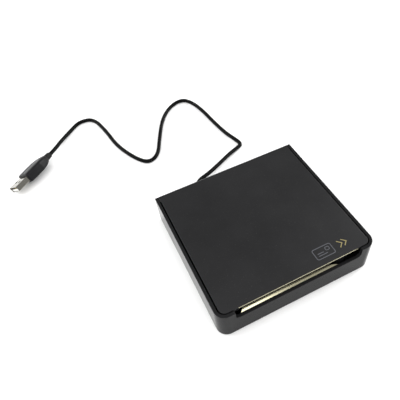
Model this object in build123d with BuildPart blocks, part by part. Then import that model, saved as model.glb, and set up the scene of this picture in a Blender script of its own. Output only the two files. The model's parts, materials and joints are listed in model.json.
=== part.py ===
from build123d import *
import os
from math import atan2, cos, degrees, hypot, pi, radians, sin, sqrt, tan

# Sheet-fed card scanner with a captive USB cord. Millimetres.
# +X runs right along the card mouth, +Y to the rear, +Z up. The origin is the bottom centre, on the feet.

# ---------------------------------------------------------------- driving dimensions
WIDTH, DEPTH, HEIGHT = 110.0, 104.7, 24.6
WALL = 2.0
FRONT_R, REAR_R = 7.2, 1.6          # outer corners seen from above
FOOT_PROUD = 0.6                    # the rubber feet stand this far below the housing
ROLL_R = 3.0                        # the rear top edge is rolled about the cover's hinge axis
RIM_R = 0.35                        # broken edges of rim and cover
GAP = 1.0                           # shadow gap between rim and cover
NOTCH_HALF, NOTCH_Z, NOTCH_R = 44.0, 17.3, 3.0
COVER_T = 1.6
DECK_TOP, DECK_T = 19.0, 1.6        # the card slides on the deck
CARD_GAP = 1.4                      # height of the card path
CHANNEL_X = (-36.9, 21.5)           # sides of the card channel
MODULE = 0.5
CORD_D = 3.2

# ---------------------------------------------------------------- derived places
FLOOR = FOOT_PROUD + WALL
INNER_X, INNER_Y = WIDTH / 2 - WALL, DEPTH / 2 - WALL
HINGE_Y, HINGE_Z = DEPTH / 2 - ROLL_R, HEIGHT - ROLL_R
REAR_WALL_TOP = HINGE_Z - ROLL_R - 0.4
COVER_X = INNER_X - GAP
COVER_FRONT = -49.8
COVER_UNDER = HEIGHT - COVER_T
SKIRT_Z = 19.6                      # lower edge of the cover's side skirts
GUIDE_UNDER = DECK_TOP + CARD_GAP
FEET = [(sx * 47.3, sy * 44.6) for sx in (-1, 1) for sy in (-1, 1)]
POSTS = [(-46.0, -27.0), (-46.0, 32.0), (33.5, -45.2), (26.0, 40.0)]
POST_R = 2.8
CHEEK_L, CHEEK_R = -42.3, 22.8      # inner and outer cheek plates start here
CHEEK_T = 2.0
TYRE_R, TYRE_W = 5.0, 10.0
TYRE_X = (-21.0, 3.0)
FRONT_ROLL_Y, REAR_ROLL_Y = -36.0, -10.4
SENSOR_Y = (FRONT_ROLL_Y + REAR_ROLL_Y) / 2
ROLL_Z = DECK_TOP + 0.4 - TYRE_R
SHAFT_R, RUN = 2.0, 0.05            # roller shafts and their running clearance
BUSH_R = 2.55
GEAR_X, GEAR_W = 26.0, 3.0          # first gear layer
LAYER_B, LAYER_B_W = 29.6, 1.8      # second gear layer
PIN_R = 1.0
BOARD_X, BOARD_Y, BOARD_Z, BOARD_T = (-36.0, 18.0), (-46.0, 42.0), 4.6, 1.4
BOARD_TOP = BOARD_Z + BOARD_T
BOARD_HOLES = [(-33.0, -42.5), (-33.0, 39.0), (8.0, -42.5), (15.0, 39.0)]
CORD_X, CORD_Z = -20.0, 7.5
COLLAR_Y = DEPTH / 2 + 1.2          # the grommet's collar ends and the free cord starts

# gears: teeth and centres (y, z); the idler joins both rollers, the compound gear drives the rear one
T_ROLLER, T_IDLER, T_LARGE, T_SMALL, T_PINION = 24, 28, 30, 12, 12


def pitch_r(teeth):
    return MODULE * teeth / 2


FRONT_C = (FRONT_ROLL_Y, ROLL_Z)
REAR_C = (REAR_ROLL_Y, ROLL_Z)
IDLER_C = (
    SENSOR_Y,
    ROLL_Z - sqrt((pitch_r(T_ROLLER) + pitch_r(T_IDLER)) ** 2 - (SENSOR_Y - FRONT_ROLL_Y) ** 2),
)
COMPOUND_Z = 12.4
COMPOUND_C = (
    REAR_ROLL_Y + sqrt((pitch_r(T_ROLLER) + pitch_r(T_SMALL)) ** 2 - (ROLL_Z - COMPOUND_Z) ** 2),
    COMPOUND_Z,
)
MOTOR_Z = 11.0
MOTOR_C = (
    COMPOUND_C[0] + sqrt((pitch_r(T_LARGE) + pitch_r(T_PINION)) ** 2 - (COMPOUND_Z - MOTOR_Z) ** 2),
    MOTOR_Z,
)
BRACKET_FEET = [(38.0, MOTOR_C[0] - 17.0), (38.0, MOTOR_C[0] + 17.0)]


def mesh_phase(centre, teeth, phase, other, other_teeth):
    """First-tooth angle of the gear at other, in mesh with the gear at centre."""
    line = degrees(atan2(other[1] - centre[1], other[0] - centre[0]))
    offset = (line - phase) / (360 / teeth)
    return line + 180 - (360 / other_teeth) * (0.5 - offset)


PH_FRONT = 0.0
PH_IDLER = mesh_phase(FRONT_C, T_ROLLER, PH_FRONT, IDLER_C, T_IDLER)
PH_REAR = mesh_phase(IDLER_C, T_IDLER, PH_IDLER, REAR_C, T_ROLLER)
PH_SMALL = mesh_phase(REAR_C, T_ROLLER, PH_REAR, COMPOUND_C, T_SMALL)
PH_PINION = mesh_phase(COMPOUND_C, T_LARGE, 0.0, MOTOR_C, T_PINION)


def gear_teeth(centre, teeth, phase):
    """Adds a toothed disc to the open sketch on a YZ plane."""
    root = pitch_r(teeth) - 1.2 * MODULE
    tip = pitch_r(teeth) + 0.9 * MODULE
    half_pitch = pi * MODULE / 4 - 0.06
    with Locations(centre):
        Circle(root)
        with PolarLocations(0, teeth, phase):
            Polygon(
                (root - 0.15, -half_pitch - 0.17),
                (pitch_r(teeth), -half_pitch),
                (tip, -half_pitch + 0.19),
                (tip, half_pitch - 0.19),
                (pitch_r(teeth), half_pitch),
                (root - 0.15, half_pitch + 0.17),
                align=None,
            )


def save(builder, name):
    builder.part.label = name
    export_step(builder.part, f"parts/{name}.step")


os.makedirs("parts", exist_ok=True)

# ================================================================ base body
with BuildPart() as base_housing:
    with BuildSketch(Plane.XY.offset(FOOT_PROUD)) as outline:
        Rectangle(WIDTH, DEPTH)
        fillet(outline.vertices().group_by(Axis.Y)[0], FRONT_R)
        fillet(outline.vertices().group_by(Axis.Y)[-1], REAR_R)
    extrude(amount=HEIGHT - FOOT_PROUD)
    chamfer(base_housing.faces().sort_by(Axis.Z)[0].edges(), 0.5)
    with BuildSketch(Plane.XY.offset(FLOOR)) as hollow:
        Rectangle(2 * INNER_X, 2 * INNER_Y)
        fillet(hollow.vertices().group_by(Axis.Y)[0], FRONT_R - WALL)
        fillet(hollow.vertices().group_by(Axis.Y)[-1], 0.5)
    extrude(amount=HEIGHT, mode=Mode.SUBTRACT)
    fillet(base_housing.edges().group_by(Axis.Z)[-1], RIM_R)
    # the rear wall is low, so that the cover's barrel turns above it
    with BuildSketch(Plane.XY.offset(REAR_WALL_TOP)):
        with Locations((0, DEPTH / 2)):
            Rectangle(2 * INNER_X, 3 * WALL)
    extrude(amount=HEIGHT, mode=Mode.SUBTRACT)
    # the side walls end in the same roll as the cover
    with BuildSketch(Plane.YZ.offset(-WIDTH / 2 - 1)):
        with BuildLine():
            Polyline(
                (HINGE_Y, HEIGHT), (HINGE_Y, HEIGHT + 1), (DEPTH / 2 + 1, HEIGHT + 1),
                (DEPTH / 2 + 1, HINGE_Z), (DEPTH / 2, HINGE_Z),
            )
            CenterArc((HINGE_Y, HINGE_Z), ROLL_R, 0, 90)
        make_face()
    extrude(amount=WIDTH + 2, mode=Mode.SUBTRACT)
    # card mouth: a wide notch in the front wall
    with BuildSketch(Plane.XZ.offset(INNER_Y - 1)) as notch:
        with Locations((0, NOTCH_Z)):
            Rectangle(2 * NOTCH_HALF, HEIGHT, align=(Align.CENTER, Align.MIN))
        fillet(notch.vertices().group_by(Axis.Y)[0], NOTCH_R)
        # its upper corners round outwards
        for side in (-1, 1):
            with Locations((side * (NOTCH_HALF + 0.5), HEIGHT - 0.5)):
                Rectangle(1.0, 1.0)
            with Locations((side * (NOTCH_HALF + 1.0), HEIGHT - 1.0)):
                Circle(1.0, mode=Mode.SUBTRACT)
    extrude(amount=WALL + 2, mode=Mode.SUBTRACT)
    # shelves that the closed cover's side skirts rest on
    with BuildSketch(Plane.XY.offset(FLOOR - 0.5)):
        for side in (-1, 1):
            for y in (-38.0, 34.0):
                with Locations((side * (INNER_X - 1.0), y)):
                    Rectangle(2.2, 8.0)
    extrude(amount=SKIRT_Z - 0.2 - FLOOR + 0.5)
    # board bosses and motor bracket bosses
    with BuildSketch(Plane.XY.offset(FLOOR - 0.5)):
        with Locations(*BOARD_HOLES):
            Circle(2.4)
    extrude(amount=BOARD_Z - FLOOR + 0.5)
    with BuildSketch(Plane.XY.offset(FLOOR - 0.5)):
        with Locations(*BRACKET_FEET):
            Circle(2.8)
    extrude(amount=BOARD_Z - FLOOR + 0.5)
    with BuildSketch(Plane.XY.offset(FLOOR - 0.9)):
        with Locations(*BOARD_HOLES, *BRACKET_FEET):
            Circle(0.8)
    extrude(amount=BOARD_Z, mode=Mode.SUBTRACT)
    # underside: foot recesses and sunk screw heads
    with BuildSketch(Plane.XY.offset(FOOT_PROUD)):
        with Locations(*FEET):
            Circle(4.6)
        with Locations(*POSTS):
            Circle(2.3)
    extrude(amount=1.0, mode=Mode.SUBTRACT)
    with BuildSketch(Plane.XY.offset(FOOT_PROUD)):
        with Locations(*POSTS):
            Circle(1.2)
    extrude(amount=WALL, mode=Mode.SUBTRACT)
    # cord hole in the rear wall
    with BuildSketch(Plane.XZ.offset(-DEPTH / 2)):
        with Locations((CORD_X, CORD_Z)):
            Circle(3.0)
    extrude(amount=WALL, mode=Mode.SUBTRACT)
    # cheeks beside the cover's barrel, with blind holes for the hinge pins
    for x in (-INNER_X, COVER_X + 0.3):
        with BuildSketch(Plane.YZ.offset(x)):
            with Locations((HINGE_Y, HINGE_Z)):
                Circle(ROLL_R)
        extrude(amount=GAP - 0.3)
    for x in (-INNER_X - 1.3, COVER_X):
        with BuildSketch(Plane.YZ.offset(x)):
            with Locations((HINGE_Y, HINGE_Z)):
                Circle(PIN_R)
        extrude(amount=1.3 + GAP, mode=Mode.SUBTRACT)
save(base_housing, "base_housing")

with BuildPart() as rubber_feet:
    with BuildSketch():
        with Locations(*FEET):
            Circle(4.4)
    extrude(amount=FOOT_PROUD + 1.0)
    fillet(rubber_feet.edges().group_by(Axis.Z)[0], 0.3)
save(rubber_feet, "rubber_feet")

with BuildPart() as housing_screws:
    with BuildSketch(Plane.XY.offset(FOOT_PROUD + 0.1)):
        with Locations(*POSTS):
            Circle(2.1)
    extrude(amount=0.9)
    with BuildSketch(Plane.XY.offset(FOOT_PROUD + 1.0)):
        with Locations(*POSTS):
            Circle(1.0)
    extrude(amount=7.6)
    with BuildSketch(Plane.XY.offset(FOOT_PROUD + 0.1)):
        for angle in (0, 90):
            with Locations(*POSTS):
                Rectangle(2.4, 0.5, rotation=angle)
    extrude(amount=0.6, mode=Mode.SUBTRACT)
save(housing_screws, "housing_screws")

with BuildPart() as hinge_pins:
    for x in (-INNER_X - 1.3, COVER_X - 5.0):
        with BuildSketch(Plane.YZ.offset(x)):
            with Locations((HINGE_Y, HINGE_Z)):
                Circle(PIN_R)
        extrude(amount=5.0 + GAP + 1.3)
save(hinge_pins, "hinge_pins")

# ---------------------------------------------------------------- chassis with the card deck
LEVER_X, LEVER_Y, LEVER_Z = 15.0, -42.0, 13.0
LIP_Y, LIP_Z, LIP_REAR_Y, LIP_RISE = -50.1, 17.3, -47.4, 0.8
RAMP_REAR_Y = -46.45
RAMP_X = (-39.8, 28.1)
with BuildPart() as chassis:
    with BuildSketch(Plane.XY.offset(DECK_TOP - DECK_T)) as deck:
        with Locations(((-50.0 + CHEEK_R + CHEEK_T) / 2, -2.0)):
            Rectangle(CHEEK_R + CHEEK_T + 50.0, 92.0)
        with Locations((CHEEK_R, -48.0)):
            Rectangle(POSTS[2][0] + POST_R - CHEEK_R, 5.0, align=Align.MIN)
        with Locations((26.0, 40.0)):
            Rectangle(8.0, 8.0)
        # the front edge steps back for the card ramp
        with Locations((RAMP_X[0] - 0.3, RAMP_REAR_Y + 0.05)):
            Rectangle(RAMP_X[1] - RAMP_X[0] + 0.6, 5.0, align=(Align.MIN, Align.MAX), mode=Mode.SUBTRACT)
        # windows for image sensor, tyres and sensor lever
        with Locations(((-39.9 + 22.4) / 2, SENSOR_Y)):
            Rectangle(62.3, 13.8, mode=Mode.SUBTRACT)
        for y in (FRONT_ROLL_Y, REAR_ROLL_Y):
            with Locations(*[(x, y) for x in TYRE_X]):
                Rectangle(TYRE_W + 1.0, 9.6, mode=Mode.SUBTRACT)
        with Locations((LEVER_X, -40.4)):
            Rectangle(3.6, 8.2, mode=Mode.SUBTRACT)
    extrude(amount=DECK_T)
    with BuildSketch(Plane.XY.offset(FLOOR)):
        with Locations(*POSTS):
            Circle(POST_R)
    extrude(amount=DECK_TOP - DECK_T - FLOOR)
    for x, y0, y1 in ((CHEEK_L, -42.0, 0.0), (CHEEK_R, -42.0, 17.0)):
        with BuildSketch(Plane.YZ.offset(x)):
            with Locations(((y0 + y1) / 2, FLOOR + 0.1)):
                Rectangle(y1 - y0, DECK_TOP - DECK_T - FLOOR, align=(Align.CENTER, Align.MIN))
        extrude(amount=CHEEK_T)
        with BuildSketch(Plane.YZ.offset(x)):
            with Locations(FRONT_C, REAR_C):
                Circle(BUSH_R)
        extrude(amount=CHEEK_T, mode=Mode.SUBTRACT)
    # side fences of the card channel on the rear half of the deck
    with BuildSketch(Plane.XY.offset(DECK_TOP)):
        for x in (CHANNEL_X[0] - 1.0, CHANNEL_X[1] + 1.0):
            with Locations((x, 20.0)):
                Rectangle(1.4, 44.0)
    extrude(amount=1.1)
    # ears for the sensor lever's pivot
    for x in (LEVER_X - 3.0, LEVER_X + 1.8):
        with BuildSketch(Plane.YZ.offset(x)):
            with Locations((LEVER_Y, DECK_TOP - DECK_T)):
                Rectangle(4.4, 6.2, align=(Align.CENTER, Align.MAX))
        extrude(amount=1.2)
    with BuildSketch(Plane.YZ.offset(LEVER_X - 3.0)):
        with Locations((LEVER_Y, LEVER_Z)):
            Circle(0.75)
    extrude(amount=6.0, mode=Mode.SUBTRACT)
    # blind holes for the gear pins and pilot holes for the screws
    with BuildSketch(Plane.YZ.offset(CHEEK_R + 0.6)):
        with Locations(IDLER_C, COMPOUND_C):
            Circle(PIN_R)
    extrude(amount=1.4, mode=Mode.SUBTRACT)
    with BuildSketch(Plane.XY.offset(FLOOR)):
        with Locations(*POSTS):
            Circle(1.0)
    extrude(amount=9.0, mode=Mode.SUBTRACT)
save(chassis, "chassis")

# polished card ramp behind the notch: a gently rising lip, then a short step up to the deck
with BuildPart() as card_ramp:
    with BuildSketch(Plane.YZ.offset(RAMP_X[0])):
        with BuildLine():
            Polyline(
                (LIP_Y, LIP_Z), (LIP_REAR_Y, LIP_Z + LIP_RISE), (RAMP_REAR_Y - 0.3, DECK_TOP + 0.05),
                (RAMP_REAR_Y, DECK_TOP + 0.05), (RAMP_REAR_Y, DECK_TOP - DECK_T),
                (LIP_Y + 0.5, LIP_Z - 0.5), close=True,
            )
        make_face()
    extrude(amount=RAMP_X[1] - RAMP_X[0])
    # both ends flare outwards to the user
    with BuildSketch(Plane.XY.offset(DECK_TOP - 3.0)):
        for outer, inner, away in (
            (RAMP_X[0], CHANNEL_X[0], RAMP_X[0] - 1.0),
            (RAMP_X[1], CHANNEL_X[1], RAMP_X[1] + 1.0),
        ):
            with BuildLine():
                Polyline((outer, LIP_Y), (inner, LIP_REAR_Y - 0.2), (inner, RAMP_REAR_Y + 1.0),
                         (away, RAMP_REAR_Y + 1.0), (away, LIP_Y), close=True)
            make_face()
    extrude(amount=5.0, mode=Mode.SUBTRACT)
save(card_ramp, "card_ramp")

# ---------------------------------------------------------------- feed rollers, one function for each kind of piece
BUSH_X = (CHEEK_L, CHEEK_R)
with BuildPart() as roller_bushes:
    for x in BUSH_X:
        with BuildSketch(Plane.YZ.offset(x)):
            with Locations(FRONT_C, REAR_C):
                Circle(BUSH_R)
                Circle(SHAFT_R + RUN, mode=Mode.SUBTRACT)
        extrude(amount=CHEEK_T)
        with BuildSketch(Plane.YZ.offset(x + CHEEK_T)):
            with Locations(FRONT_C, REAR_C):
                Circle(BUSH_R + 0.4)
                Circle(SHAFT_R + RUN, mode=Mode.SUBTRACT)
        extrude(amount=0.6)
save(roller_bushes, "roller_bushes")

SHAFT_X = (CHEEK_L - 1.4, GEAR_X + GEAR_W + 0.3)
for place, centre, phase in (("front", FRONT_C, PH_FRONT), ("rear", REAR_C, PH_REAR)):
    with BuildPart() as roller_shaft:
        with BuildSketch(Plane.YZ.offset(SHAFT_X[0])):
            with Locations(centre):
                Circle(SHAFT_R)
        extrude(amount=SHAFT_X[1] - SHAFT_X[0])
        chamfer(roller_shaft.edges().filter_by(GeomType.CIRCLE), 0.3)
    save(roller_shaft, f"{place}_roller_shaft")

    with BuildPart() as roller_tyres:
        for x in TYRE_X:
            with BuildSketch(Plane.YZ.offset(x - TYRE_W / 2)):
                with Locations(centre):
                    Circle(TYRE_R)
                    Circle(SHAFT_R, mode=Mode.SUBTRACT)
            extrude(amount=TYRE_W)
    save(roller_tyres, f"{place}_roller_tyres")

    with BuildPart() as roller_gear:
        with BuildSketch(Plane.YZ.offset(GEAR_X)):
            gear_teeth(centre, T_ROLLER, phase)
            with Locations(centre):
                Circle(SHAFT_R, mode=Mode.SUBTRACT)
        extrude(amount=GEAR_W)
    save(roller_gear, f"{place}_roller_gear")

with BuildPart() as idler_gear:
    with BuildSketch(Plane.YZ.offset(GEAR_X)):
        gear_teeth(IDLER_C, T_IDLER, PH_IDLER)
        with Locations(IDLER_C):
            Circle(PIN_R + RUN, mode=Mode.SUBTRACT)
    extrude(amount=GEAR_W)
    with BuildSketch(Plane.YZ.offset(GEAR_X + 2.0)):
        with Locations(IDLER_C):
            Circle(5.4)
            Circle(2.6, mode=Mode.SUBTRACT)
    extrude(amount=GEAR_W, mode=Mode.SUBTRACT)
save(idler_gear, "idler_gear")

with BuildPart() as compound_gear:
    with BuildSketch(Plane.YZ.offset(GEAR_X)):
        gear_teeth(COMPOUND_C, T_SMALL, PH_SMALL)
        with Locations(COMPOUND_C):
            Circle(PIN_R + RUN, mode=Mode.SUBTRACT)
    extrude(amount=LAYER_B - GEAR_X)
    with BuildSketch(Plane.YZ.offset(LAYER_B)):
        gear_teeth(COMPOUND_C, T_LARGE, 0.0)
        with Locations(COMPOUND_C):
            Circle(PIN_R + RUN, mode=Mode.SUBTRACT)
    extrude(amount=LAYER_B_W)
save(compound_gear, "compound_gear")

with BuildPart() as gear_pins:
    for centre, end in ((IDLER_C, GEAR_X + GEAR_W + 1.0), (COMPOUND_C, LAYER_B + LAYER_B_W + 1.0)):
        with BuildSketch(Plane.YZ.offset(CHEEK_R + 0.6)):
            with Locations(centre):
                Circle(PIN_R)
        extrude(amount=end - CHEEK_R - 0.6)
save(gear_pins, "gear_pins")

with BuildPart() as gear_rings:
    for centre, x in ((IDLER_C, GEAR_X + GEAR_W + 0.2), (COMPOUND_C, LAYER_B + LAYER_B_W + 0.2)):
        with BuildSketch(Plane.YZ.offset(x)):
            with Locations(centre):
                Circle(2.2)
                Circle(PIN_R, mode=Mode.SUBTRACT)
            with Locations((centre[0], centre[1] - 2.0)):
                Rectangle(1.0, 2.4, mode=Mode.SUBTRACT)
        extrude(amount=0.4)
save(gear_rings, "gear_rings")

# ---------------------------------------------------------------- motor
PLATE_X, PLATE_T = 33.0, 0.8
MOTOR_X0, MOTOR_R, MOTOR_L = PLATE_X + PLATE_T, 7.5, 12.5
EAR_OFF = 9.6
with BuildPart() as motor_bracket:
    with BuildSketch(Plane.YZ.offset(PLATE_X)):
        with Locations((MOTOR_C[0], BOARD_Z)):
            Rectangle(38.0, 14.0, align=(Align.CENTER, Align.MIN))
        with Locations(MOTOR_C):
            Circle(4.2, mode=Mode.SUBTRACT)
        with Locations(*[(MOTOR_C[0] + s * EAR_OFF, MOTOR_Z) for s in (-1, 1)]):
            Circle(0.9, mode=Mode.SUBTRACT)
    extrude(amount=PLATE_T)
    with BuildSketch(Plane.XY.offset(BOARD_Z)):
        for x, y in BRACKET_FEET:
            with Locations((PLATE_X, y)):
                Rectangle(8.0, 4.0, align=(Align.MIN, Align.CENTER))
            with Locations((x, y)):
                Circle(0.9, mode=Mode.SUBTRACT)
    extrude(amount=PLATE_T)
save(motor_bracket, "motor_bracket")

with BuildPart() as motor_body:
    with BuildSketch(Plane.YZ.offset(MOTOR_X0)):
        with Locations(MOTOR_C):
            SlotCenterToCenter(2 * EAR_OFF, 4.4)
            Circle(MOTOR_R)
        with Locations(*[(MOTOR_C[0] + s * EAR_OFF, MOTOR_Z) for s in (-1, 1)]):
            Circle(0.9, mode=Mode.SUBTRACT)
    extrude(amount=0.8)
    with BuildSketch(Plane.YZ.offset(MOTOR_X0 + 0.8)):
        with Locations(MOTOR_C):
            Circle(MOTOR_R)
    extrude(amount=MOTOR_L - 0.8)
    fillet(motor_body.edges().group_by(Axis.X)[-1], 0.8)
    with BuildSketch(Plane.YZ.offset(MOTOR_X0 - 1.4)):
        with Locations(MOTOR_C):
            Circle(3.0)
    extrude(amount=1.4)
    with BuildSketch(Plane.XY.offset(MOTOR_Z - 2.5)):
        with Locations((MOTOR_X0 + 6.5, MOTOR_C[0] + 7.6)):
            Rectangle(6.0, 3.2)
    extrude(amount=5.0)
    with BuildSketch(Plane.YZ.offset(MOTOR_X0 - 1.4)):
        with Locations(MOTOR_C):
            Circle(0.75 + RUN)
    extrude(amount=5.0, mode=Mode.SUBTRACT)
save(motor_body, "motor_body")

with BuildPart() as motor_pinion:
    with BuildSketch(Plane.YZ.offset(LAYER_B)):
        gear_teeth(MOTOR_C, T_PINION, PH_PINION)
    extrude(amount=LAYER_B_W)
    with BuildSketch(Plane.YZ.offset(LAYER_B - 0.4)):
        with Locations(MOTOR_C):
            Circle(0.75)
    extrude(amount=MOTOR_X0 + 3.0 - LAYER_B + 0.4)
save(motor_pinion, "motor_pinion")

with BuildPart() as motor_screws:
    with BuildSketch(Plane.YZ.offset(MOTOR_X0 + 0.8)):
        with Locations(*[(MOTOR_C[0] + s * EAR_OFF, MOTOR_Z) for s in (-1, 1)]):
            Circle(1.6)
    extrude(amount=1.1)
    with BuildSketch(Plane.YZ.offset(PLATE_X - 0.6)):
        with Locations(*[(MOTOR_C[0] + s * EAR_OFF, MOTOR_Z) for s in (-1, 1)]):
            Circle(0.85)
    extrude(amount=PLATE_T + 1.4)
save(motor_screws, "motor_screws")

# ---------------------------------------------------------------- contact image sensor
CIS_X, CIS_HALF_Y, CIS_Z0, CIS_TOP = (-39.5, 22.0), 6.5, 8.0, 18.4
CIS_MID = (CIS_X[0] + CIS_X[1]) / 2
CIS_LEN = CIS_X[1] - CIS_X[0]
with BuildPart() as cis_housing:
    with BuildSketch(Plane.XY.offset(CIS_Z0)):
        with Locations((CIS_MID, SENSOR_Y)):
            Rectangle(CIS_LEN, 2 * CIS_HALF_Y)
    extrude(amount=CIS_TOP - CIS_Z0)
    with BuildSketch(Plane.XY.offset(CIS_Z0 + 2.0)):
        with Locations((CIS_MID, SENSOR_Y)):
            Rectangle(CIS_LEN - 4.0, 2 * CIS_HALF_Y - 4.0)
    extrude(amount=CIS_TOP, mode=Mode.SUBTRACT)
save(cis_housing, "cis_housing")

with BuildPart() as cis_lens_bar:
    with BuildSketch(Plane.XY.offset(CIS_Z0 + 2.0)):
        with Locations((CIS_MID, SENSOR_Y)):
            Rectangle(CIS_LEN - 5.0, 2.4)
    extrude(amount=6.6)
save(cis_lens_bar, "cis_lens_bar")

with BuildPart() as cis_light_guide:
    with BuildSketch(Plane.YZ.offset(CIS_X[0] + 2.6)):
        with Locations((SENSOR_Y + 2.9, CIS_Z0 + 5.6)):
            Circle(1.1)
    extrude(amount=CIS_LEN - 5.2)
save(cis_light_guide, "cis_light_guide")

with BuildPart() as cis_glass:
    with BuildSketch(Plane.XY.offset(CIS_TOP)):
        with Locations((CIS_MID, SENSOR_Y)):
            Rectangle(CIS_LEN, 2 * CIS_HALF_Y - 0.6)
    extrude(amount=0.9)
    chamfer(cis_glass.edges().group_by(Axis.Z)[-1].filter_by(Axis.X), 0.25)
save(cis_glass, "cis_glass")

with BuildPart() as cis_board:
    with BuildSketch(Plane.XY.offset(CIS_Z0 - 1.0)):
        with Locations((CIS_MID, SENSOR_Y)):
            Rectangle(CIS_LEN, 2 * CIS_HALF_Y - 1.0)
    extrude(amount=1.0)
save(cis_board, "cis_board")

with BuildPart() as cis_flat_cable:
    with BuildSketch(Plane.YZ.offset(-30.0)):
        with BuildLine():
            Polyline(
                (SENSOR_Y + 6.0, 7.6), (-13.0, 7.6), (-10.5, 7.3), (-4.0, 7.3),
                (-4.0, 7.1), (-10.6, 7.1), (-13.1, 7.4), (SENSOR_Y + 6.0, 7.4), close=True,
            )
        make_face()
    extrude(amount=12.0)
save(cis_flat_cable, "cis_flat_cable")

# ---------------------------------------------------------------- main board
with BuildPart() as main_board:
    with BuildSketch(Plane.XY.offset(BOARD_Z)) as board_outline:
        with Locations((sum(BOARD_X) / 2, sum(BOARD_Y) / 2)):
            Rectangle(BOARD_X[1] - BOARD_X[0], BOARD_Y[1] - BOARD_Y[0])
        fillet(board_outline.vertices(), 1.5)
        with Locations(*BOARD_HOLES):
            Circle(1.1, mode=Mode.SUBTRACT)
    extrude(amount=BOARD_T)
save(main_board, "main_board")

with BuildPart() as board_screws:
    with BuildSketch(Plane.XY.offset(BOARD_TOP)):
        with Locations(*BOARD_HOLES):
            Circle(1.9)
    extrude(amount=1.0)
    with BuildSketch(Plane.XY.offset(BOARD_TOP + 0.5)):
        for angle in (0, 90):
            with Locations(*BOARD_HOLES):
                Rectangle(2.2, 0.45, rotation=angle)
    extrude(amount=0.5, mode=Mode.SUBTRACT)
    with BuildSketch(Plane.XY.offset(BOARD_TOP - 3.6)):
        with Locations(*BOARD_HOLES):
            Circle(0.8)
    extrude(amount=3.6)
save(board_screws, "board_screws")

with BuildPart() as bracket_screws:
    with BuildSketch(Plane.XY.offset(BOARD_Z + PLATE_T)):
        with Locations(*BRACKET_FEET):
            Circle(1.7)
    extrude(amount=1.0)
    with BuildSketch(Plane.XY.offset(BOARD_Z - 2.6)):
        with Locations(*BRACKET_FEET):
            Circle(0.8)
    extrude(amount=PLATE_T + 2.6)
save(bracket_screws, "bracket_screws")

with BuildPart() as controller_chip:
    with BuildSketch(Plane.XY.offset(BOARD_TOP)) as chip:
        with Locations((-12.0, 14.0)):
            Rectangle(12.0, 12.0)
    extrude(amount=1.4)
    chamfer(controller_chip.edges().group_by(Axis.Z)[-1], 0.3)
    with BuildSketch(Plane.XY.offset(BOARD_TOP)):
        for angle in (0, 90):
            with Locations(Location((-12.0, 14.0), angle)):
                with GridLocations(1.0, 13.0, 11, 2):
                    Rectangle(0.4, 1.6)
    extrude(amount=0.3)
save(controller_chip, "controller_chip")

with BuildPart() as small_chips:
    with BuildSketch(Plane.XY.offset(BOARD_TOP)):
        with Locations((4.0, 12.0), (-26.0, 16.0)):
            Rectangle(5.0, 8.0)
        with Locations((8.0, 26.0)):
            Rectangle(6.0, 6.0)
    extrude(amount=1.3)
save(small_chips, "small_chips")

with BuildPart() as crystal_can:
    with BuildSketch(Plane.XY.offset(BOARD_TOP)):
        with Locations((-12.0, 26.0)):
            SlotOverall(10.0, 4.0)
    extrude(amount=3.2)
    fillet(crystal_can.edges().group_by(Axis.Z)[-1], 0.5)
save(crystal_can, "crystal_can")

with BuildPart() as capacitors:
    with BuildSketch(Plane.XY.offset(BOARD_TOP)):
        with Locations((-28.0, 27.0), (-28.0, 34.0), (2.0, 34.0)):
            Circle(2.5)
    extrude(amount=5.4)
    fillet(capacitors.edges().group_by(Axis.Z)[-1], 0.4)
save(capacitors, "capacitors")

with BuildPart() as board_connectors:
    with BuildSketch(Plane.XY.offset(BOARD_TOP)):
        with Locations((-24.0, -2.0)):
            Rectangle(15.0, 4.0)
        with Locations((CORD_X, 37.0)):
            Rectangle(9.0, 6.0)
        with Locations((15.0, 30.0)):
            Rectangle(5.0, 9.0)
    extrude(amount=3.0)
save(board_connectors, "board_connectors")

with BuildPart() as photo_interrupter:
    with BuildSketch(Plane.XY.offset(BOARD_TOP)):
        with Locations((LEVER_X, LEVER_Y)):
            Rectangle(4.8, 4.0)
    extrude(amount=1.0)
    with BuildSketch(Plane.XY.offset(BOARD_TOP + 1.0)):
        with Locations((LEVER_X - 1.65, LEVER_Y), (LEVER_X + 1.65, LEVER_Y)):
            Rectangle(1.5, 4.0)
    extrude(amount=2.8)
save(photo_interrupter, "photo_interrupter")

with BuildPart() as lever_pin:
    with BuildSketch(Plane.YZ.offset(LEVER_X - 3.3)):
        with Locations((LEVER_Y, LEVER_Z)):
            Circle(0.75)
    extrude(amount=6.6)
save(lever_pin, "lever_pin")

with BuildPart() as sensor_lever:
    with BuildSketch(Plane.YZ.offset(LEVER_X - 1.5)):
        with Locations((LEVER_Y, LEVER_Z)):
            Circle(1.7)
        with Locations((LEVER_Y, LEVER_Z + 3.3)):
            Rectangle(1.5, 6.6)
        with Locations((LEVER_Y, LEVER_Z + 6.4)):
            Circle(0.75)
        with Locations((LEVER_Y, LEVER_Z)):
            Circle(0.75 + RUN, mode=Mode.SUBTRACT)
    extrude(amount=2.0)
    with BuildSketch(Plane.YZ.offset(LEVER_X - 0.5)):
        with Locations((LEVER_Y, LEVER_Z - 1.2)):
            Rectangle(1.8, 4.2, align=(Align.CENTER, Align.MAX))
    extrude(amount=1.0)
save(sensor_lever, "sensor_lever")

with BuildPart() as lever_spring:
    with BuildLine(Plane.YZ.offset(LEVER_X + 0.75)) as coil_path:
        Helix(pitch=0.3, height=0.75, radius=1.2, center=(LEVER_Y, LEVER_Z, 0), direction=(1, 0, 0))
    with BuildSketch(Plane(origin=coil_path.line @ 0, z_dir=coil_path.line % 0)):
        Circle(0.11)
    sweep(is_frenet=True)
save(lever_spring, "lever_spring")

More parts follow.
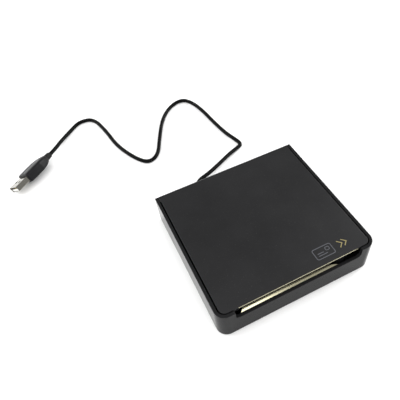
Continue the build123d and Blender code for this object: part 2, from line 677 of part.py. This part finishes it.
LEAD_R = 0.9
MOTOR_TERMINAL = (MOTOR_X0 + 6.5, MOTOR_C[0] + 9.2, MOTOR_Z)
with BuildPart() as motor_lead:
    with BuildLine() as lead_path:
        FilletPolyline(
            MOTOR_TERMINAL,
            (MOTOR_TERMINAL[0], 34.0, MOTOR_Z),
            (30.0, 33.0, 9.0),
            (24.0, 30.0, 7.5),
            (17.5, 30.0, 7.5),
            radius=3.0,
        )
    with BuildSketch(Plane(origin=lead_path.line @ 0, z_dir=lead_path.line % 0)):
        Circle(LEAD_R)
    sweep()
save(motor_lead, "motor_lead")

# ---------------------------------------------------------------- cord entry
with BuildPart() as cord_grommet:
    for y, radius, length in ((INNER_Y - 1.2, 4.2, 1.2), (INNER_Y, 3.0, WALL), (DEPTH / 2, 3.6, 1.2)):
        with BuildSketch(Plane.XZ.offset(-y)):
            with Locations((CORD_X, CORD_Z)):
                Circle(radius)
        extrude(amount=-length)
    fillet(cord_grommet.edges().group_by(Axis.Y)[-1], 0.5)
save(cord_grommet, "cord_grommet")

with BuildPart() as inner_lead:
    with BuildSketch(Plane.XZ.offset(-40.0)):
        with Locations((CORD_X, CORD_Z)):
            Circle(1.3)
    extrude(amount=-(INNER_Y - 1.2 - 40.0))
save(inner_lead, "inner_lead")

# ================================================================ cover body
with BuildPart() as top_cover:
    with BuildSketch(Plane.XY.offset(COVER_UNDER)) as skin:
        with Locations((0, (COVER_FRONT + HINGE_Y) / 2)):
            Rectangle(2 * COVER_X, HINGE_Y - COVER_FRONT)
        fillet(skin.vertices().group_by(Axis.Y)[0], FRONT_R - WALL - GAP)
    extrude(amount=COVER_T)
    fillet(top_cover.edges().group_by(Axis.Z)[-1].group_by(Axis.Y)[:-1], RIM_R)
    # side skirts stiffen the skin
    with BuildSketch(Plane.XY.offset(SKIRT_Z)):
        for side in (-1, 1):
            with Locations((side * (COVER_X - 0.6), 2.0)):
                Rectangle(1.2, 88.0)
    extrude(amount=COVER_UNDER - SKIRT_Z)
    # hinge barrel, which is also the rolled rear edge
    with BuildSketch(Plane.YZ.offset(-COVER_X)):
        with Locations((HINGE_Y, HINGE_Z)):
            Circle(ROLL_R)
    extrude(amount=2 * COVER_X)
    for x in (-COVER_X, COVER_X - 5.2):
        with BuildSketch(Plane.YZ.offset(x)):
            with Locations((HINGE_Y, HINGE_Z)):
                Circle(PIN_R + RUN)
        extrude(amount=5.2, mode=Mode.SUBTRACT)
    # the front edge is thinned from below above the card slot
    with BuildSketch(Plane.YZ.offset(-NOTCH_HALF + 1.5)):
        with BuildLine():
            Polyline((COVER_FRONT - 1, COVER_UNDER - 1), (COVER_FRONT - 1, HEIGHT - 0.75),
                     (COVER_FRONT, HEIGHT - 0.75), (COVER_FRONT + 2.6, COVER_UNDER),
                     (COVER_FRONT + 2.6, COVER_UNDER - 1), close=True)
        make_face()
    extrude(amount=2 * NOTCH_HALF - 3.0, mode=Mode.SUBTRACT)
    # screw bosses for the upper guide
    with BuildSketch(Plane.XY.offset(GUIDE_UNDER + 1.2)):
        with Locations((-30.0, 36.0), (14.0, 36.0), (-30.0, 6.0), (14.0, 6.0)):
            Circle(2.0)
            Circle(0.7, mode=Mode.SUBTRACT)
    extrude(amount=COVER_UNDER - GUIDE_UNDER - 1.2)
save(top_cover, "top_cover")

with BuildPart() as cover_edge_trim:
    with BuildSketch(Plane.XY.offset(HEIGHT - 0.65)):
        with Locations((0.75, COVER_FRONT - 0.11)):
            Rectangle(83.5, 0.22)
    extrude(amount=0.5)
save(cover_edge_trim, "cover_edge_trim")

PINCH_R, PINCH_AXLE_R = 1.6, 0.8
PINCH_Z = ROLL_Z + TYRE_R + 0.12 + PINCH_R
GUIDE_SCREWS = [(-30.0, 36.0), (14.0, 36.0), (-30.0, 6.0), (14.0, 6.0)]
with BuildPart() as upper_guide:
    with BuildSketch(Plane.XY.offset(GUIDE_UNDER)):
        with Locations((-8.4, -2.5)):
            Rectangle(63.2, 89.0)
        for y in (FRONT_ROLL_Y, REAR_ROLL_Y):
            with Locations((-8.2, y)):
                Rectangle(58.8, 4.4, mode=Mode.SUBTRACT)
        with Locations(*GUIDE_SCREWS):
            Circle(0.9, mode=Mode.SUBTRACT)
    extrude(amount=1.2)
    # bearing blocks of the pinch axles
    with BuildSketch(Plane.XY.offset(DECK_TOP + 0.4)):
        for x, w in ((-38.9, 2.2), (22.35, 1.7)):
            with Locations((x, FRONT_ROLL_Y), (x, REAR_ROLL_Y)):
                Rectangle(w, 6.0)
    extrude(amount=COVER_UNDER - DECK_TOP - 0.4)
    for y in (FRONT_ROLL_Y, REAR_ROLL_Y):
        with BuildSketch(Plane.YZ.offset(-39.4)):
            with Locations((y, PINCH_Z)):
                Circle(PINCH_AXLE_R + RUN)
        extrude(amount=62.2, mode=Mode.SUBTRACT)
    # stiffening ribs up to the cover
    with BuildSketch(Plane.XY.offset(GUIDE_UNDER + 1.2)):
        with Locations((-8.4, 41.4), (-8.4, SENSOR_Y - 6.0), (-8.4, SENSOR_Y + 6.0)):
            Rectangle(63.2, 1.0)
    extrude(amount=COVER_UNDER - GUIDE_UNDER - 1.2)
save(upper_guide, "upper_guide")

with BuildPart() as guide_screws:
    with BuildSketch(Plane.XY.offset(GUIDE_UNDER + 0.1)):
        with Locations(*GUIDE_SCREWS):
            Circle(0.85)
    extrude(amount=1.1)
    with BuildSketch(Plane.XY.offset(GUIDE_UNDER + 1.2)):
        with Locations(*GUIDE_SCREWS):
            Circle(0.7)
    extrude(amount=1.2)
save(guide_screws, "guide_screws")

with BuildPart() as white_reference_strip:
    with BuildSketch(Plane.XY.offset(GUIDE_UNDER - 0.4)):
        with Locations((-8.0, SENSOR_Y)):
            Rectangle(56.0, 8.0)
    extrude(amount=0.4)
save(white_reference_strip, "white_reference_strip")

for place, y in (("front", FRONT_ROLL_Y), ("rear", REAR_ROLL_Y)):
    with BuildPart() as pinch_roller:
        with BuildSketch(Plane.YZ.offset(-39.2)):
            with Locations((y, PINCH_Z)):
                Circle(PINCH_AXLE_R)
        extrude(amount=61.8)
        for x in TYRE_X:
            with BuildSketch(Plane.YZ.offset(x - 4.0)):
                with Locations((y, PINCH_Z)):
                    Circle(PINCH_R)
            extrude(amount=8.0)
    save(pinch_roller, f"{place}_pinch_roller")

with BuildPart() as pinch_springs:
    for y in (FRONT_ROLL_Y, REAR_ROLL_Y):
        for x in (-12.0, 13.0):
            with BuildSketch(Plane.YZ.offset(x - 1.5)):
                with BuildLine():
                    Polyline(
                        (y - 5.0, COVER_UNDER), (y - 4.0, COVER_UNDER), (y - 1.2, 22.2), (y + 1.2, 22.2),
                        (y + 4.0, COVER_UNDER), (y + 5.0, COVER_UNDER), (y + 5.0, COVER_UNDER - 0.2),
                        (y + 3.9, COVER_UNDER - 0.2), (y + 1.2, 22.0), (y - 1.2, 22.0),
                        (y - 3.9, COVER_UNDER - 0.2), (y - 5.0, COVER_UNDER - 0.2), close=True,
                    )
                make_face()
            extrude(amount=3.0)
save(pinch_springs, "pinch_springs")

# ================================================================ cord and plug
# The plug lies on the table on one lower edge, rolled about its own axis.
PLUG_TIP = (-148.0, 130.6, 6.9)
PLUG_HEADING, PLUG_ROLL = 218.4, 30.0
BACK = Vector(-cos(radians(PLUG_HEADING)), -sin(radians(PLUG_HEADING)), 0)
NEAR = Vector(BACK.Y, -BACK.X, 0) * cos(radians(PLUG_ROLL)) + Vector(0, 0, sin(radians(PLUG_ROLL)))
plug_plane = Plane(origin=PLUG_TIP, x_dir=NEAR, z_dir=BACK)
SHELL_W, SHELL_T, SHELL_L, SHEET = 12.0, 4.5, 12.2, 0.3
BOOT_START, BOOT_END = 37.4, 42.6

with BuildPart() as plug_shell:
    with BuildSketch(plug_plane):
        RectangleRounded(SHELL_W, SHELL_T, 0.6)
        RectangleRounded(SHELL_W - 2 * SHEET, SHELL_T - 2 * SHEET, 0.3, mode=Mode.SUBTRACT)
    extrude(amount=SHELL_L)
    # two latch windows in each wide face
    latch_plane = Plane(origin=plug_plane.from_local_coords((0, 0, 6.2)), x_dir=NEAR, z_dir=plug_plane.y_dir)
    with BuildSketch(latch_plane):
        with Locations((-2.65, 0), (2.65, 0)):
            Rectangle(2.3, 2.3)
    extrude(amount=SHELL_T, both=True, mode=Mode.SUBTRACT)
save(plug_shell, "plug_shell")

with BuildPart() as plug_tongue:
    with BuildSketch(plug_plane.offset(0.6)):
        with Locations((0, 1.0)):
            Rectangle(SHELL_W - 1.2, 1.8)
    extrude(amount=SHELL_L - 0.6)
save(plug_tongue, "plug_tongue")

with BuildPart() as plug_contacts:
    with BuildSketch(plug_plane.offset(1.2)):
        for x in (-3.5, -1.0, 1.0, 3.5):
            with Locations((x, 0.0)):
                Rectangle(1.0, 0.2)
    extrude(amount=SHELL_L - 1.2)
save(plug_contacts, "plug_contacts")

OVERMOULD = [
    (SHELL_L, 13.8, 7.2, 1.6), (SHELL_L + 1.2, 14.6, 7.9, 1.9), (21.0, 15.0, 8.2, 2.0), (27.5, 14.6, 8.2, 2.0),
    (33.0, 11.8, 7.6, 2.4), (36.4, 8.2, 6.4, 2.6), (BOOT_START, 6.4, 5.8, 2.7),
]
with BuildPart() as plug_overmould:
    for back, w, t, r in OVERMOULD:
        with BuildSketch(plug_plane.offset(back)):
            RectangleRounded(w, t, r)
    loft(ruled=True)
save(plug_overmould, "plug_overmould")

with BuildPart() as plug_boot:
    for back, radius in ((BOOT_START, 2.75), (BOOT_END, 2.35)):
        with BuildSketch(plug_plane.offset(back)):
            Circle(radius)
    loft()
    fillet(plug_boot.edges().filter_by(GeomType.CIRCLE).sort_by_distance(plug_plane.origin)[-1], 0.4)
save(plug_boot, "plug_boot")

CORD_REST = CORD_D / 2 + 0.02       # centre height where the cord lies on the table
cord_start = (CORD_X, COLLAR_Y, CORD_Z)
cord_end = tuple(plug_plane.from_local_coords((0, 0, BOOT_END)))
CORD_ROUTE = [
    cord_start,
    (CORD_X, 60.2, CORD_Z),
    (-16.5, 66.7, 6.8),
    (-6.4, 70.5, 5.6),
    (6.6, 77.6, 4.0),
    (19.3, 85.0, 2.5),
    (27.6, 88.5, 1.75),
    (33.8, 91.2, CORD_REST),
    (32.3, 98.7, CORD_REST),
    (28.5, 110.3, CORD_REST),
    (25.6, 130.0, CORD_REST),
    (23.6, 150.5, CORD_REST),
    (19.6, 166.5, CORD_REST),
    (12.5, 174.7, CORD_REST),
    (-1.5, 169.6, CORD_REST),
    (-14.0, 155.7, CORD_REST),
    (-24.6, 134.2, CORD_REST),
    (-32.9, 115.2, CORD_REST),
    (-43.0, 110.5, CORD_REST),
    (-51.4, 121.2, CORD_REST),
    (-60.5, 144.0, CORD_REST),
    (-63.4, 167.6, CORD_REST),
    (-69.0, 191.1, CORD_REST),
    (-81.8, 193.5, CORD_REST),
    (-90.9, 186.0, CORD_REST),
    (-103.3, 173.9, 2.6),
    tuple(plug_plane.from_local_coords((0, 0, BOOT_END + 7.0))),
    cord_end,
]


def corner_radii(route):
    """Arc radius at each inner point: 0.45 of the shorter run over the tangent of half the turn."""
    radii = []
    points = [Vector(*p) for p in route]
    for before, here, after in zip(points, points[1:], points[2:]):
        turn = (here - before).get_angle(after - here)
        run = min((here - before).length, (after - here).length)
        radii.append(0.45 * run / tan(radians(turn / 2)))
    return radii


radii = corner_radii(CORD_ROUTE)
with BuildPart() as usb_cord:
    with BuildLine() as cord_path:
        FilletPolyline(*CORD_ROUTE, radius=radii)
    with BuildSketch(Plane(origin=cord_path.line @ 0, z_dir=cord_path.line % 0)):
        Circle(CORD_D / 2)
    sweep()
save(usb_cord, "usb_cord")

print("cord radii:", [round(r, 1) for r in radii])
cord_length = cord_path.wire().length
section = pi * (CORD_D / 2) ** 2
print(f"cord length {cord_length:.1f}, volume over section times length {usb_cord.part.volume / section / cord_length:.4f}")
print(f"compound gear centre {COMPOUND_C}, motor centre {MOTOR_C}")
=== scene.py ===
import json
import math

import bmesh
import bpy
from mathutils import Matrix, Vector


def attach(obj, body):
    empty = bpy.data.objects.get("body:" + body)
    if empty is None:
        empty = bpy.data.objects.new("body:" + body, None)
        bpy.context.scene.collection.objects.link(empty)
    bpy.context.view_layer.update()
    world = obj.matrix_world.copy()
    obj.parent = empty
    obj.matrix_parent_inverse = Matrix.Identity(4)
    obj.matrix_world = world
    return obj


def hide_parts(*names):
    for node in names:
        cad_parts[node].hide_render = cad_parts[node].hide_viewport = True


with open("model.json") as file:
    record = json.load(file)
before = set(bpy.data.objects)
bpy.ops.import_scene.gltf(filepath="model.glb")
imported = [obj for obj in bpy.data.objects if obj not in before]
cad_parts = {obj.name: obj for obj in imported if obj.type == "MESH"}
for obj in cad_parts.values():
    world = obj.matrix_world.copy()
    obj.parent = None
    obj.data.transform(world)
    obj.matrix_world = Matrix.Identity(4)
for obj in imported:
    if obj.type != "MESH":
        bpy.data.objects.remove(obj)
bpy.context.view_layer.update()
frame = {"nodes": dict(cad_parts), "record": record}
nodes = frame["nodes"]
scene = bpy.context.scene
MM = 0.001


# ---------------------------------------------------------------- camera
def look(azimuth, elevation, roll, distance, target):
    """Camera matrix from angles in degrees and lengths in millimetres."""
    a, e, r = (math.radians(v) for v in (azimuth, elevation, roll))
    back = Vector((math.sin(a) * math.cos(e), -math.cos(a) * math.cos(e), math.sin(e)))
    right = Vector((math.cos(a), math.sin(a), 0))
    up = back.cross(right)
    right_r = right * math.cos(r) + up * math.sin(r)
    up_r = up * math.cos(r) - right * math.sin(r)
    place = (Vector(target) + back * distance) * MM
    m = Matrix((right_r, up_r, back)).transposed().to_4x4()
    m.translation = place
    return m


LENS_MM, SENSOR_MM, SHIFT = 38.57, 36.0, (-0.0691, -0.0018)
AZIMUTH, ELEVATION, CAMERA_ROLL = -22.112, 50.318, -5.71
CAMERA_DISTANCE, LOOKED_AT = 328.06, (-2.95, 43.84, 0)

camera_data = bpy.data.cameras.new("camera")
camera_data.lens, camera_data.sensor_width = LENS_MM, SENSOR_MM
camera_data.shift_x, camera_data.shift_y = SHIFT
camera_data.clip_start, camera_data.clip_end = 0.01, 20.0
camera = bpy.data.objects.new("camera", camera_data)
camera.matrix_world = look(AZIMUTH, ELEVATION, CAMERA_ROLL, CAMERA_DISTANCE, LOOKED_AT)
scene.collection.objects.link(camera)
scene.camera = camera


# ---------------------------------------------------------------- node materials
class Nodes:
    """A new material with short calls to add and link shader nodes."""

    def __init__(self, name):
        self.material = bpy.data.materials.new(name)
        self.material.use_nodes = True
        self.tree = self.material.node_tree
        self.bsdf = self.tree.nodes["Principled BSDF"]
        self.coords = self.tree.nodes.new("ShaderNodeTexCoord").outputs["Object"]

    def set(self, **values):
        for key, value in values.items():
            self.bsdf.inputs[key.replace("_", " ")].default_value = value
        return self

    def add(self, kind, **inputs):
        node = self.tree.nodes.new("ShaderNode" + kind)
        for key, value in inputs.items():
            socket = node.inputs[key.replace("_", " ")]
            if isinstance(value, bpy.types.NodeSocket):
                self.tree.links.new(value, socket)
            else:
                socket.default_value = value
        return node

    def link(self, output, name):
        self.tree.links.new(output, self.bsdf.inputs[name])

    def stretched(self, x, y, z):
        """Object coordinates scaled apart, for streaks."""
        node = self.add("Mapping", Vector=self.coords)
        node.inputs["Scale"].default_value = (x, y, z)
        return node.outputs["Vector"]

    def noise(self, scale, detail=2.0, rough=0.5, vector=None):
        node = self.add("TexNoise", Scale=scale, Detail=detail, Roughness=rough)
        self.tree.links.new(vector or self.coords, node.inputs["Vector"])
        return node.outputs["Fac"]

    def ramp(self, factor, low, high, a, b):
        """Maps factor from low..high to a..b, clamped."""
        node = self.add("MapRange", Value=factor)
        for key, value in (("From Min", low), ("From Max", high), ("To Min", a), ("To Max", b)):
            node.inputs[key].default_value = value
        return node.outputs["Result"]

    def mix(self, factor, a, b):
        node = self.tree.nodes.new("ShaderNodeMix")
        node.data_type = "RGBA"
        self.tree.links.new(factor, node.inputs["Factor"])
        for key, value in (("A", a), ("B", b)):
            socket = [s for s in node.inputs if s.name == key and s.type == "RGBA"][0]
            if isinstance(value, bpy.types.NodeSocket):
                self.tree.links.new(value, socket)
            else:
                socket.default_value = (*value, 1.0)
        return [s for s in node.outputs if s.type == "RGBA"][0]

    def bump(self, height, strength, distance):
        return self.add("Bump", Strength=strength, Distance=distance, Height=height).outputs["Normal"]


def gloss_black():
    """Polished black plastic with a faint haze and hairline scuffs."""
    m = Nodes("gloss_black_plastic").set(IOR=1.5, Specular_IOR_Level=0.05)
    haze = m.noise(55, 4, 0.6)
    m.link(m.mix(m.noise(900, 3), (0.010, 0.010, 0.010), (0.015, 0.015, 0.016)), "Base Color")
    m.link(m.ramp(haze, 0.35, 0.7, 0.09, 0.2), "Roughness")
    scuffs = m.noise(1.0, 3, 0.6, m.stretched(300, 2500, 2500))
    m.link(m.bump(scuffs, 0.06, 0.0002), "Normal")
    return m.material


def matt_charcoal():
    """Grained matt plastic with scattered dust specks."""
    m = Nodes("matt_charcoal_plastic").set(IOR=1.45, Specular_IOR_Level=0.28)
    blotch = m.noise(28, 5, 0.6)
    grain = m.noise(5200, 2, 0.6)
    base = m.mix(m.ramp(blotch, 0.3, 0.7, 0, 1), (0.0072, 0.0072, 0.0078), (0.0106, 0.0106, 0.0114))
    dust = m.ramp(m.noise(1900, 0, 0.5), 0.76, 0.82, 0.0, 0.25)
    m.link(m.mix(dust, base, (0.09, 0.09, 0.085)), "Base Color")
    m.link(m.ramp(blotch, 0.3, 0.7, 0.42, 0.5), "Roughness")
    m.link(m.bump(grain, 0.35, 0.00004), "Normal")
    return m.material


def polished_gold():
    """Polished gold-coloured metal with fine streaks along the width."""
    m = Nodes("polished_gold").set(Metallic=1.0)
    streak = m.noise(1.0, 3, 0.6, m.stretched(30, 2600, 2600))
    m.link(m.mix(streak, (0.60, 0.56, 0.38), (0.70, 0.66, 0.47)), "Base Color")
    m.link(m.ramp(m.noise(90, 3), 0.3, 0.7, 0.13, 0.2), "Roughness")
    m.link(m.bump(streak, 0.05, 0.00002), "Normal")
    return m.material


def rubber(name, colour, rough):
    """Dull rubber with a fine grain."""
    m = Nodes(name).set(IOR=1.5, Specular_IOR_Level=0.06)
    n = m.noise(2600, 3, 0.6)
    light = tuple(min(1.0, c * 1.5 + 0.001) for c in colour)
    m.link(m.mix(n, colour, light), "Base Color")
    m.link(m.ramp(m.noise(160, 3), 0.3, 0.7, rough - 0.07, rough + 0.09), "Roughness")
    m.link(m.bump(n, 0.3, 0.00005), "Normal")
    return m.material


def moulded(name, colour, rough=0.4, spark=0.25, shine=0.5):
    """Moulded plastic with a fine spark-eroded grain."""
    m = Nodes(name).set(IOR=1.48, Specular_IOR_Level=shine)
    n = m.noise(3400, 2, 0.6)
    light = tuple(min(1.0, c * 1.15 + 0.003) for c in colour)
    m.link(m.mix(m.noise(70, 4), colour, light), "Base Color")
    m.link(m.ramp(n, 0.3, 0.7, rough - 0.05, rough + 0.08), "Roughness")
    m.link(m.bump(n, spark, 0.00004), "Normal")
    return m.material


def metal(name, colour, rough):
    """Brushed metal with its lines along X."""
    m = Nodes(name).set(Metallic=1.0)
    n = m.noise(1.0, 3, 0.6, m.stretched(60, 4000, 4000))
    dark = tuple(c * 0.82 for c in colour)
    m.link(m.mix(n, dark, colour), "Base Color")
    m.link(m.ramp(n, 0.3, 0.7, rough - 0.07, rough + 0.1), "Roughness")
    m.link(m.bump(n, 0.1, 0.00006), "Normal")
    return m.material


def clear(name, colour):
    """Clear glass or plastic with slight smears."""
    m = Nodes(name).set(IOR=1.5, Transmission_Weight=1.0)
    m.link(m.mix(m.noise(300, 2), colour, tuple(c * 0.96 for c in colour)), "Base Color")
    m.link(m.ramp(m.noise(90, 3), 0.3, 0.7, 0.01, 0.04), "Roughness")
    return m.material


def circuit_board():
    """Green solder mask with a pattern of tracks."""
    m = Nodes("circuit_board").set(IOR=1.5)
    cells = m.add("TexVoronoi", Vector=m.coords, Scale=420.0)
    tracks = m.ramp(cells.outputs["Distance"], 0.32, 0.36, 0.0, 1.0)
    m.link(m.mix(tracks, (0.015, 0.16, 0.05), (0.03, 0.26, 0.09)), "Base Color")
    m.link(m.ramp(m.noise(900, 2), 0.3, 0.7, 0.28, 0.4), "Roughness")
    m.link(m.bump(tracks, 0.3, 0.00005), "Normal")
    return m.material


GLOSS = gloss_black()
CHARCOAL = matt_charcoal()
GOLD = polished_gold()
CORD_RUBBER = rubber("cord_rubber", (0.0018, 0.0018, 0.0018), 0.38)
FOOT_RUBBER = rubber("foot_rubber", (0.016, 0.016, 0.016), 0.65)
TYRE_RUBBER = rubber("tyre_rubber", (0.045, 0.045, 0.05), 0.7)
STEEL = metal("steel", (0.62, 0.62, 0.63), 0.28)
BLACK_MOULDED = moulded("black_moulded", (0.014, 0.014, 0.015), 0.42)
GEAR_PLASTIC = moulded("gear_plastic", (0.80, 0.78, 0.72), 0.36, 0.1)
BRASS = metal("brass", (0.75, 0.56, 0.26), 0.24)
PINCH_GREY = moulded("pinch_grey", (0.42, 0.42, 0.43), 0.3)
LENS = clear("clear_glass", (0.80, 0.90, 0.87))
BOARD_GREEN = circuit_board()
WHITE = moulded("white_plastic", (0.82, 0.82, 0.80), 0.45)
PLUG_METAL = metal("plug_metal", (0.36, 0.35, 0.31), 0.12)
CONTACT_GOLD = metal("contact_gold", (0.86, 0.66, 0.28), 0.2)
PLUG_BLACK = moulded("plug_black", (0.006, 0.006, 0.007), 0.42, 0.25, 0.16)

BY_SLOT = {
    "housing": GLOSS, "cover": CHARCOAL, "gold": GOLD, "rubber": FOOT_RUBBER, "cord": CORD_RUBBER,
    "tyre": TYRE_RUBBER, "steel": STEEL, "frame_plastic": BLACK_MOULDED, "gear_plastic": GEAR_PLASTIC,
    "brass": BRASS, "pinch": PINCH_GREY, "glass": LENS, "board": BOARD_GREEN, "white": WHITE,
    "plug_metal": PLUG_METAL, "plug_gold": CONTACT_GOLD, "plug_plastic": PLUG_BLACK,
}
slot_of = {s["node"]: s["material_slot"] for s in frame["record"]["subparts"]}
for name, node in nodes.items():
    node.data.materials.clear()
    node.data.materials.append(BY_SLOT[slot_of[name]])


# ---------------------------------------------------------------- cord
def tube(name, places, radius, material, along, around):
    """A round tube, radius in mm, along a smooth curve guided by places in mm."""
    data = bpy.data.curves.new(name, "CURVE")
    data.dimensions = "3D"
    line = data.splines.new("NURBS")
    line.points.add(len(places) - 1)
    for point, place in zip(line.points, places):
        point.co = (*(Vector(place) * MM), 1.0)
    line.order_u = 3
    line.use_endpoint_u = True
    data.resolution_u = along
    data.bevel_depth = radius * MM
    data.bevel_resolution = around
    data.use_fill_caps = True
    data.materials.append(material)
    ob = bpy.data.objects.new(name, data)
    scene.collection.objects.link(ob)
    return ob


# guide points from the grommet's collar to the plug's boot; CORD_REST is the height of the axis on the table
CORD_D, CORD_REST = 3.2, 1.62
CORD_ROUTE = [
    (-20.0, 53.55, 7.5),
    (-20.0, 60.2, 7.5),
    (-16.5, 66.7, 6.8),
    (-6.4, 70.5, 5.6),
    (6.6, 77.6, 4.0),
    (19.3, 85.0, 2.5),
    (27.6, 88.5, 1.75),
    (33.8, 91.2, CORD_REST),
    (32.3, 98.7, CORD_REST),
    (28.5, 110.3, CORD_REST),
    (25.6, 130.0, CORD_REST),
    (23.6, 150.5, CORD_REST),
    (19.6, 166.5, CORD_REST),
    (12.5, 174.7, CORD_REST),
    (-1.5, 169.6, CORD_REST),
    (-14.0, 155.7, CORD_REST),
    (-24.6, 134.2, CORD_REST),
    (-32.9, 115.2, CORD_REST),
    (-43.0, 110.5, CORD_REST),
    (-51.4, 121.2, CORD_REST),
    (-60.5, 144.0, CORD_REST),
    (-63.4, 167.6, CORD_REST),
    (-69.0, 191.1, CORD_REST),
    (-81.8, 193.5, CORD_REST),
    (-90.9, 186.0, CORD_REST),
    (-103.3, 173.9, 2.6),
    (-109.13, 161.41, 6.9),
    (-114.61, 157.06, 6.9),
]
cord = tube("cord", CORD_ROUTE, CORD_D / 2, CORD_RUBBER, along=16, around=6)
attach(cord, "base")
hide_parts("usb_cord")

# a raised line along the upper wide face of the plug's overmould, coloured light grey as a painted highlight
# on the black plastic
PLUG_TIP, PLUG_HEADING, PLUG_ROLL = (-148.0, 130.6, 6.9), math.radians(218.4), math.radians(30.0)
PLUG_BACK = Vector((-math.cos(PLUG_HEADING), -math.sin(PLUG_HEADING), 0))
PLUG_NEAR = Vector((PLUG_BACK.y, -PLUG_BACK.x, 0)) * math.cos(PLUG_ROLL) + Vector((0, 0, math.sin(PLUG_ROLL)))
PLUG_UP = PLUG_NEAR.cross(PLUG_BACK)


def plug_point(near, up, back):
    """A place in mm from distances along the plug's own directions, measured from its tip."""
    return Vector(PLUG_TIP) + PLUG_NEAR * near + PLUG_UP * up + PLUG_BACK * back


# light grey colour of the raised line: a painted highlight on the black overmould, not a grey part
PAINTED_HIGHLIGHT_GREY = moulded("painted_highlight_grey", (0.30, 0.30, 0.31), 0.25, 0.1)
PAINTED_HIGHLIGHT_LINE_R = 0.28
painted_highlight_line = tube("plug_painted_highlight_line", [
    plug_point(1.0, 3.95, 14.2), plug_point(1.6, 4.05, 18.0), plug_point(1.8, 4.12, 24.0),
    plug_point(1.6, 4.1, 28.5), plug_point(1.0, 3.95, 31.5),
], PAINTED_HIGHLIGHT_LINE_R, PAINTED_HIGHLIGHT_GREY, along=12, around=3)
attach(painted_highlight_line, "base")

# ---------------------------------------------------------------- printed card pictogram on the cover
COVER_TOP, INK_LIFT = 24.6, 0.006
MITRE_LIMIT = 0.4                           # keeps the outer corner of a sharp bend short


def flat_strip(bm, points, width):
    """Adds a flat stroke of constant width through the points (x, y), mitred at the bends."""
    z = COVER_TOP * MM + INK_LIFT * MM
    rows = []
    for i, place in enumerate(points):
        here = Vector(place)
        before = Vector(points[i - 1]) if i else None
        after = Vector(points[i + 1]) if i + 1 < len(points) else None
        if points[0] == points[-1]:
            before = before or Vector(points[-2])
            after = after or Vector(points[1])
        way = (here - before).normalized() if before else Vector((0, 0))
        way += (after - here).normalized() if after else Vector((0, 0))
        way.normalize()
        leg = (after - here) if after else (here - before)
        across = Vector((-way.y, way.x))
        reach = width / 2 / max(MITRE_LIMIT, abs(across.dot(Vector((-leg.y, leg.x)).normalized())))
        rows.append([bm.verts.new((*((here + across * reach * side) * MM), z)) for side in (-1, 1)])
    for (a, b), (c, d) in zip(rows, rows[1:]):
        bm.faces.new((a, c, d, b))


def rounded_card(x, y, wide, high, radius, steps=5):
    """Closed outline of a card with round corners, anticlockwise from the lower left."""
    outline = []
    corners = ((x + wide - radius, y + radius, -90), (x + wide - radius, y + high - radius, 0),
               (x + radius, y + high - radius, 90), (x + radius, y + radius, 180))
    for cx, cy, start in corners:
        for k in range(steps + 1):
            a = math.radians(start + 90 * k / steps)
            outline.append((cx + radius * math.cos(a), cy + radius * math.sin(a)))
    return outline + outline[:1]


def printed(name, strokes, material):
    """One printed mark on the cover from strokes of (points, width) in mm."""
    bm = bmesh.new()
    for points, width in strokes:
        flat_strip(bm, points, width)
    mesh = bpy.data.meshes.new(name)
    bm.to_mesh(mesh)
    bm.free()
    mesh.materials.append(material)
    ob = bpy.data.objects.new(name, mesh)
    scene.collection.objects.link(ob)
    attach(ob, "cover")


INK_GREY = moulded("ink_grey", (0.060, 0.062, 0.072), 0.5, 0.1)
INK_GOLD = metal("ink_gold", (0.42, 0.36, 0.17), 0.4)
CARD_X, CARD_Y, CARD_W, CARD_H = 16.0, -45.6, 13.0, 7.6
ARROW_X, ARROW_STEP, INK_WIDTH = 33.4, 3.2, 0.5
printed("pictogram_card", [
    (rounded_card(CARD_X, CARD_Y, CARD_W, CARD_H, 1.1), INK_WIDTH),
    ([(CARD_X + 2.0, CARD_Y + 2.1), (CARD_X + 8.4, CARD_Y + 2.1)], INK_WIDTH),
    ([(CARD_X + 2.0, CARD_Y + 3.7), (CARD_X + 6.4, CARD_Y + 3.7)], INK_WIDTH),
    (rounded_card(CARD_X + 8.4, CARD_Y + 3.8, 2.6, 2.2, 0.5, 3), 0.45),
], INK_GREY)
printed("pictogram_arrow", [
    ([(x, CARD_Y + 1.3), (x + 2.6, CARD_Y + 3.8), (x, CARD_Y + 6.3)], 0.6)
    for x in (ARROW_X, ARROW_X + ARROW_STEP)
], INK_GOLD)

# ---------------------------------------------------------------- stage: floor, world, lights
FLOOR_HALF, WORLD_STRENGTH = 3.0, 0.46

floor_mesh = bpy.data.meshes.new("floor")
floor_mesh.from_pydata(
    [(x * FLOOR_HALF, y * FLOOR_HALF, 0) for x, y in ((-1, -1), (1, -1), (1, 1), (-1, 1))], [], [(0, 1, 2, 3)]
)
floor = bpy.data.objects.new("floor", floor_mesh)
scene.collection.objects.link(floor)
paper = Nodes("white_paper").set(Roughness=0.9)
paper.link(paper.mix(paper.noise(8, 2), (0.93, 0.93, 0.925), (0.95, 0.95, 0.945)), "Base Color")
floor_mesh.materials.append(paper.material)

world = bpy.data.worlds.new("studio")
scene.world = world
world.use_nodes = True
background = world.node_tree.nodes["Background"]
background.inputs["Color"].default_value = (1.0, 1.0, 1.0, 1.0)
background.inputs["Strength"].default_value = WORLD_STRENGTH


def softbox(name, place, aim, size, power):
    """A rectangular area light, lengths in metres and power in watts."""
    data = bpy.data.lights.new(name, "AREA")
    data.shape = "RECTANGLE"
    data.size, data.size_y = size
    data.energy = power
    lamp = bpy.data.objects.new(name, data)
    lamp.location = place
    lamp.rotation_euler = (Vector(aim) - Vector(place)).to_track_quat("-Z", "Y").to_euler()
    scene.collection.objects.link(lamp)


softbox("ceiling", (-0.72, -0.7, 1.2), (-0.72, -0.7, 0), (2.0, 1.8), 25.0)
softbox("right", (1.6, 0.3, 0.7), (0, 0, 0), (1.2, 1.0), 30.0)
softbox("left_rear", (-1.0, 0.9, 0.8), (0, 0, 0), (1.0, 1.0), 11.0)
scene.view_settings.view_transform = "Standard"
